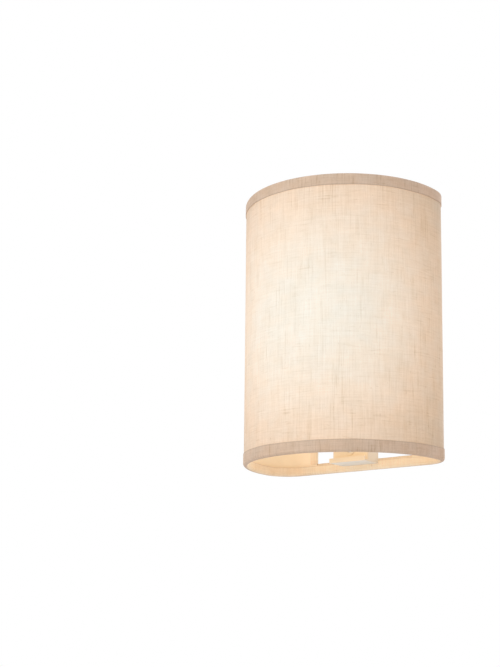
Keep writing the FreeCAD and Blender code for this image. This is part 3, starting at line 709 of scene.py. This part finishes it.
def turned_piece(profile, axis, steps, ripple):
    """A closed body turned about an upright axis from (radius, height) points, then rippled."""
    rings = []
    for i in range(steps):
        angle = 2 * math.pi * i / steps
        ring = []
        for k, (radius, z) in enumerate(profile):
            r = radius + ripple(angle, k, z)
            ring.append((axis[0] + r * math.cos(angle), axis[1] + r * math.sin(angle), z))
        rings.append(ring)
    return swept_loop(rings, closed=True)


def make_bulb_cap():
    """The bulb's screw cap, with its rolled thread."""
    sizes = bpy.context.scene.wall_light_sizes
    outer = (CAP_HIGH.x - CAP_LOW.x) / 2
    wall, thread_depth, thread_fade = 0.4 * MM, 0.55 * MM, 2 * MM
    low, high = CAP_LOW.z, CAP_HIGH.z
    start, end = low + 3.2 * MM, high - 2.6 * MM
    foot_inset, shoulder_inset, shoulder_rise = 3 * MM, 1.6 * MM, 1.2 * MM
    neck_inset, neck_drop, mouth_inset = 0.15 * MM, 1.4 * MM, 0.1 * MM
    rows, steps = 44, 72
    profile = [(outer - foot_inset, low), (outer - shoulder_inset, low + shoulder_rise)]
    profile += [(outer, start + (end - start) * i / rows) for i in range(rows + 1)]
    profile += [(outer - neck_inset, high - neck_drop), (outer - mouth_inset, high),
                (outer - mouth_inset - wall, high)]
    inner = [(r - wall, z + (wall if z == low else 0.0)) for r, z in profile[:-2][::-1]]
    profile += inner

    def thread(angle, k, z):
        """The change of radius there, in the hollows of the rolled thread."""
        if not start <= z <= end:
            return 0.0
        fade = min(1.0, (z - start) / thread_fade, (end - z) / thread_fade)
        turn = z / sizes.thread_pitch - angle / (2 * math.pi)
        return -thread_depth * (0.5 - 0.5 * math.cos(2 * math.pi * turn)) * fade

    corners, faces = turned_piece(profile, (0.0, LAMP_AXIS_Y), steps, thread)
    faces = [face[::-1] for face in faces]
    return mesh_piece("bulb_screw_cap", corners, faces)


def loose_parts(mesh):
    """The corners of each separate body in a mesh, as lists of places."""
    owner = list(range(len(mesh.vertices)))

    def root(k):
        while owner[k] != k:
            owner[k] = owner[owner[k]]
            k = owner[k]
        return k

    for edge in mesh.edges:
        first, second = edge.vertices
        owner[root(first)] = root(second)
    groups = {}
    for k, corner in enumerate(mesh.vertices):
        groups.setdefault(root(k), []).append(corner.co.copy())
    return sorted(groups.values(), key=lambda group: min(corner.x for corner in group))


def make_connectors():
    """Ribbed twist-on connectors in the places of the plain ones."""
    ribs, steps, rows = 12, 96, 16
    wall, end_wall, rib_depth, eased_edge = 1.1 * MM, 3.0 * MM, 0.35 * MM, 0.35 * MM
    plain_skirt, plain_end, end_hole = 3.0 * MM, 1.5 * MM, 0.4 * MM
    bore_share, height_slack = 0.55, 0.05 * MM
    corners, faces = [], []
    for body in loose_parts(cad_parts["wire_connectors"].data):
        low, high = min(c.z for c in body), max(c.z for c in body)
        middle = (sum((min(c.x for c in body), max(c.x for c in body))) / 2,
                  sum((min(c.y for c in body), max(c.y for c in body))) / 2)

        def reach(z, body=body, middle=middle):
            """The plain body's outer radius near that height."""
            near = min(abs(c.z - z) for c in body)
            return max(math.dist((c.x, c.y), middle) for c in body
                       if abs(c.z - z) < near + height_slack)

        bottom, top = reach(low), reach(high)
        skirt = plain_skirt if bottom >= top else 0.0
        outer = []
        for row in range(rows + 1):
            share = row / rows
            ease = eased_edge if row in (0, rows) else 0.0
            outer.append((bottom + (top - bottom) * share - ease, low + (high - low) * share))
        inner_top = high - end_wall
        inner = [(end_hole, high), (end_hole, inner_top), (top * bore_share, inner_top),
                 (bottom - wall, low)]

        def rib(angle, k, z, low=low, high=high, skirt=skirt):
            """The change of radius there, in the hollows between the ribs."""
            if k > rows or not low + skirt < z < high - plain_end:
                return 0.0
            return -rib_depth * (0.5 + 0.5 * math.cos(ribs * angle))

        more, quads = turned_piece(outer + inner, middle, steps, rib)
        base = len(corners)
        corners.extend(more)
        faces.extend(tuple(base + k for k in quad)[::-1] for quad in quads)
    piece = mesh_piece("twist_connectors", corners, faces)
    soften(piece, 40.0)
    return piece


# ---- operators ----
class WALLLIGHT_OT_cover(bpy.types.Operator):
    """Lay the linen over the liner and finish the liner"""

    bl_idname = "wall_light.cover"
    bl_label = "Linen cover"

    def execute(self, context):
        colours = context.scene.wall_light_colours
        cover = make_cover()
        cover.data.materials.append(cloth_material(
            "natural_linen", colours.linen, contrast=0.29, through_share=0.42,
            outside=COVER_GLOW, inside=COVER_GLOW, edge_glue_and_shadow=1.0))
        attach(cover, "shade")
        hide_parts("linen_cover")
        dress("styrene_liner", liner_material(colours.liner, LINER_GLOW))
        return {"FINISHED"}


class WALLLIGHT_OT_bands(bpy.types.Operator):
    """Roll the linen bands over the two rings and fold the tapes over the back edges"""

    bl_idname = "wall_light.bands"
    bl_label = "Rolled bands and tapes"

    def execute(self, context):
        colours = context.scene.wall_light_colours
        # the bands take a painted shadow and glue line along their cut edges
        band_linen = cloth_material(
            "band_linen", colours.trim, contrast=0.28, through_share=0.8,
            outside=BAND_GLOW, inside=HEM_GLOW, edge_glue_and_shadow=0.8)
        bands = (("rolled_band_top", "trim_top", "ring_top", 1, 0.37),
                 ("rolled_band_bottom", "trim_bottom", "ring_bottom", -1, 0.81))
        for name, node, ring, side, seed in bands:
            band = make_band(name, side, seed)
            band.data.materials.append(band_linen)
            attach(band, "shade")
            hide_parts(node)
        tapes = make_bindings()
        tapes.data.materials.append(band_linen)
        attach(tapes, "shade")
        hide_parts("edge_bindings")
        return {"FINISHED"}


class WALLLIGHT_OT_metalwork(bpy.types.Operator):
    """Finish the rings, hanger, bracket, plate, strap, arm and screws"""

    bl_idname = "wall_light.metalwork"
    bl_label = "Metalwork"

    def execute(self, context):
        colours = context.scene.wall_light_colours
        paint = hard_material("white_powder_coat", colours.paint, around=0.15, direct=0.50,
                              mottle=0.02, bump=0.5, grain=2600.0, rough=(0.38, 0.48))
        zinc = hard_material("zinc_plate", (0.40, 0.41, 0.42), around=0.05, direct=0.05,
                             mottle=0.12, rough=(0.38, 0.55), Metallic=1.0)
        wire = hard_material("coated_wire", (0.70, 0.68, 0.63), around=0.1, direct=0.2,
                             mottle=0.04)
        green = hard_material("green_dyed_zinc", (0.05, 0.22, 0.08), mottle=0.1, Metallic=0.8)
        for node in ("back_plate", "shade_bracket", "holder_arm", "side_screws"):
            dress(node, paint)
        for node in ("mounting_strap", "bracket_screws", "arm_screws", "holder_nipple",
                     "nipple_nut", "lock_washer"):
            dress(node, zinc)
        for node in ("ring_top", "ring_bottom", "shade_hanger"):
            dress(node, wire)
        dress("ground_screw", green)
        return {"FINISHED"}


class WALLLIGHT_OT_lampholder(bpy.types.Operator):
    """Finish the lampholder and its contacts"""

    bl_idname = "wall_light.lampholder"
    bl_label = "Lampholder"

    def execute(self, context):
        brass = hard_material("plain_brass", (0.72, 0.50, 0.20), around=0.05, direct=0.05,
                              mottle=0.10, rough=(0.25, 0.4), Metallic=1.0)
        holder = hard_material("white_phenolic", (0.72, 0.70, 0.65), around=0.12, direct=0.3,
                               mottle=0.03, rough=(0.3, 0.4))
        for node in ("socket_cap", "screw_shell", "centre_contact"):
            dress(node, brass)
        dress("socket_body", holder)
        return {"FINISHED"}


class WALLLIGHT_OT_wiring(bpy.types.Operator):
    """Finish the leads, bushings and twist-on connectors"""

    bl_idname = "wall_light.wiring"
    bl_label = "Wiring"

    def execute(self, context):
        colours = context.scene.wall_light_colours
        dress("plate_bushing", hard_material("black_nylon", (0.02, 0.02, 0.02),
                                             rough=(0.4, 0.55)))
        # the photo shows no dark spot on the bracket, so the bushing there is pale
        dress("web_bushing", hard_material("pale_nylon", tuple(colours.paint), around=0.15,
                                           direct=0.50, mottle=0.03, rough=(0.4, 0.55)))
        leads = (("lead_live", "black_insulation", (0.015, 0.015, 0.015)),
                 ("lead_neutral", "white_insulation", (0.70, 0.69, 0.66)),
                 ("ground_lead", "green_insulation", (0.03, 0.20, 0.06)))
        for node, name, colour in leads:
            dress(node, hard_material(name, colour, rough=(0.28, 0.38)))
        connectors = make_connectors()
        connectors.data.materials.append(
            hard_material("orange_moulding", (0.75, 0.24, 0.04), rough=(0.28, 0.38)))
        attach(connectors, "fixture")
        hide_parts("wire_connectors")
        return {"FINISHED"}


class WALLLIGHT_OT_bulb(bpy.types.Operator):
    """Thread the bulb's cap and finish the bulb"""

    bl_idname = "wall_light.bulb"
    bl_label = "Bulb"

    def execute(self, context):
        cap_metal = hard_material("plated_cap", (0.50, 0.50, 0.49), mottle=0.08,
                                  rough=(0.22, 0.34), Metallic=1.0)
        cap = make_bulb_cap()
        cap.data.materials.append(cap_metal)
        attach(cap, "bulb")
        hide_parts("bulb_cap")
        dress("bulb_contact", cap_metal)
        dress("bulb_insulator", hard_material("dark_glass_bead", (0.03, 0.02, 0.03),
                                              rough=(0.08, 0.15)))
        plastic = hard_material("white_bulb_plastic", (0.78, 0.78, 0.77), mottle=0.02, bump=0.1,
                                rough=(0.3, 0.38))
        dress("bulb_housing", plastic)
        dress("led_board", plastic)
        frost, nodes, shader = new_material(
            "frosted_dome", Base_Color=(0.80, 0.78, 0.72, 1.0), Roughness=0.5,
            Emission_Strength=1.0)
        dim_light, full_light = (0.92, 0.80, 0.58, 1.0), (1.0, 0.92, 0.74, 1.0)
        mottle = add_surface_wear(nodes).outputs["Mottle"]
        nodes.put(shader.inputs["Emission Color"], nodes.mix(mottle, dim_light, full_light))
        dress("bulb_dome", frost)
        return {"FINISHED"}


class WALLLIGHT_OT_stage(bpy.types.Operator):
    """Set the floor, the lamps, the world and the camera"""

    bl_idname = "wall_light.stage"
    bl_label = "Stage"

    def execute(self, context):
        scene = context.scene
        scene.view_settings.view_transform = "Standard"
        make_floor()
        make_world(scene)
        for name, place, power in SOFT_LAMPS:
            make_lamp(name, place, power)
        make_camera(scene)
        return {"FINISHED"}


def seen_by_camera(nodes):
    """1 where the camera sees it, straight on, off gloss or through glass, and 0 elsewhere."""
    path = nodes.add("ShaderNodeLightPath")
    seen = nodes.maths("MAXIMUM", path.outputs["Is Camera Ray"], path.outputs["Is Glossy Ray"])
    return nodes.maths("MAXIMUM", seen, path.outputs["Is Transmission Ray"])


def make_floor():
    """A wide pale floor that keeps shadows and looks white to the camera."""
    quarters = ((-1, -1), (1, -1), (1, 1), (-1, 1))
    corners = [(x * FLOOR_REACH, y * FLOOR_REACH, FLOOR_Z) for x, y in quarters]
    floor = mesh_piece("floor", corners, [(0, 1, 2, 3)], smooth=False)
    made = bpy.data.materials.new("pale_floor")
    made.use_nodes = True
    made.node_tree.nodes.clear()
    nodes = Nodes(made.node_tree)
    diffuse = nodes.add("ShaderNodeBsdfDiffuse", {"Color": FLOOR_GREY})
    strength = nodes.maths("MULTIPLY", seen_by_camera(nodes), FLOOR_SEEN_WHITE)
    white = nodes.add("ShaderNodeEmission", {"Color": WHITE, "Strength": strength})
    both = nodes.add("ShaderNodeAddShader")
    nodes.put(both.inputs[0], diffuse.outputs["BSDF"])
    nodes.put(both.inputs[1], white.outputs["Emission"])
    nodes.add("ShaderNodeOutputMaterial", {"Surface": both.outputs["Shader"]})
    floor.data.materials.append(made)


def make_world(scene):
    """Even pale light all round, white where the camera sees it."""
    world = bpy.data.worlds.new("studio")
    world.use_nodes = True
    world.node_tree.nodes.clear()
    nodes = Nodes(world.node_tree)
    level = nodes.span(seen_by_camera(nodes), 0.0, 1.0, SKY_LIGHT, 1.0)
    sky = nodes.add("ShaderNodeBackground", {"Color": WHITE, "Strength": level})
    nodes.add("ShaderNodeOutputWorld", {"Surface": sky.outputs["Background"]})
    scene.world = world


def make_lamp(name, place, power):
    """A large soft lamp aimed at the wall light."""
    data = bpy.data.lights.new(name, "AREA")
    data.shape = "DISK"
    data.size = SOFT_LAMP_SIZE
    data.energy = power
    lamp = bpy.data.objects.new(name, data)
    lamp.location = place
    aim = SOFT_LAMP_AIM - Vector(place)
    lamp.rotation_euler = aim.to_track_quat("-Z", "Y").to_euler()
    bpy.context.scene.collection.objects.link(lamp)


def make_camera(scene):
    """The photograph's view, from below and to the right."""
    photo_height = 667.0
    focal_pixels = 1407.13
    centre_right, centre_down = 85.0, 100.0
    place, yaw, pitch = (0.71796, -1.16297, -0.32274), -0.5744, 0.1667
    data = bpy.data.cameras.new("photo_camera")
    data.sensor_width = 36.0
    data.lens = focal_pixels / photo_height * data.sensor_width
    data.shift_x = -centre_right / photo_height
    data.shift_y = centre_down / photo_height
    camera = bpy.data.objects.new("photo_camera", data)
    camera.location = place
    ahead = Vector((math.sin(yaw) * math.cos(pitch), math.cos(yaw) * math.cos(pitch),
                    math.sin(pitch)))
    camera.rotation_euler = ahead.to_track_quat("-Z", "Y").to_euler()
    scene.collection.objects.link(camera)
    scene.camera = camera


OPERATORS = (
    WALLLIGHT_OT_stage,
    WALLLIGHT_OT_cover,
    WALLLIGHT_OT_bands,
    WALLLIGHT_OT_metalwork,
    WALLLIGHT_OT_lampholder,
    WALLLIGHT_OT_wiring,
    WALLLIGHT_OT_bulb,
)


class WALLLIGHT_PT_panel(bpy.types.Panel):
    """The wall light's settings and pieces"""

    bl_idname = "WALLLIGHT_PT_panel"
    bl_label = "Wall light"
    bl_space_type = "VIEW_3D"
    bl_region_type = "UI"
    bl_category = "Wall light"

    def draw(self, context):
        layout = self.layout
        for group in (context.scene.wall_light_sizes, context.scene.wall_light_colours):
            column = layout.column()
            for label in group.__annotations__:
                column.prop(group, label)
        for operator in OPERATORS:
            layout.operator(operator.bl_idname)


CLASSES = (WallLightSizes, WallLightColours, *OPERATORS, WALLLIGHT_PT_panel)


def register():
    for kind in CLASSES:
        bpy.utils.register_class(kind)
    bpy.types.Scene.wall_light_sizes = bpy.props.PointerProperty(type=WallLightSizes)
    bpy.types.Scene.wall_light_colours = bpy.props.PointerProperty(type=WallLightColours)


def unregister():
    del bpy.types.Scene.wall_light_colours
    del bpy.types.Scene.wall_light_sizes
    for kind in reversed(CLASSES):
        bpy.utils.unregister_class(kind)


def main():
    register()
    bpy.ops.wall_light.stage()
    bpy.ops.wall_light.cover()
    bpy.ops.wall_light.bands()
    bpy.ops.wall_light.metalwork()
    bpy.ops.wall_light.lampholder()
    bpy.ops.wall_light.wiring()
    bpy.ops.wall_light.bulb()


if __name__ == "__main__":
    main()
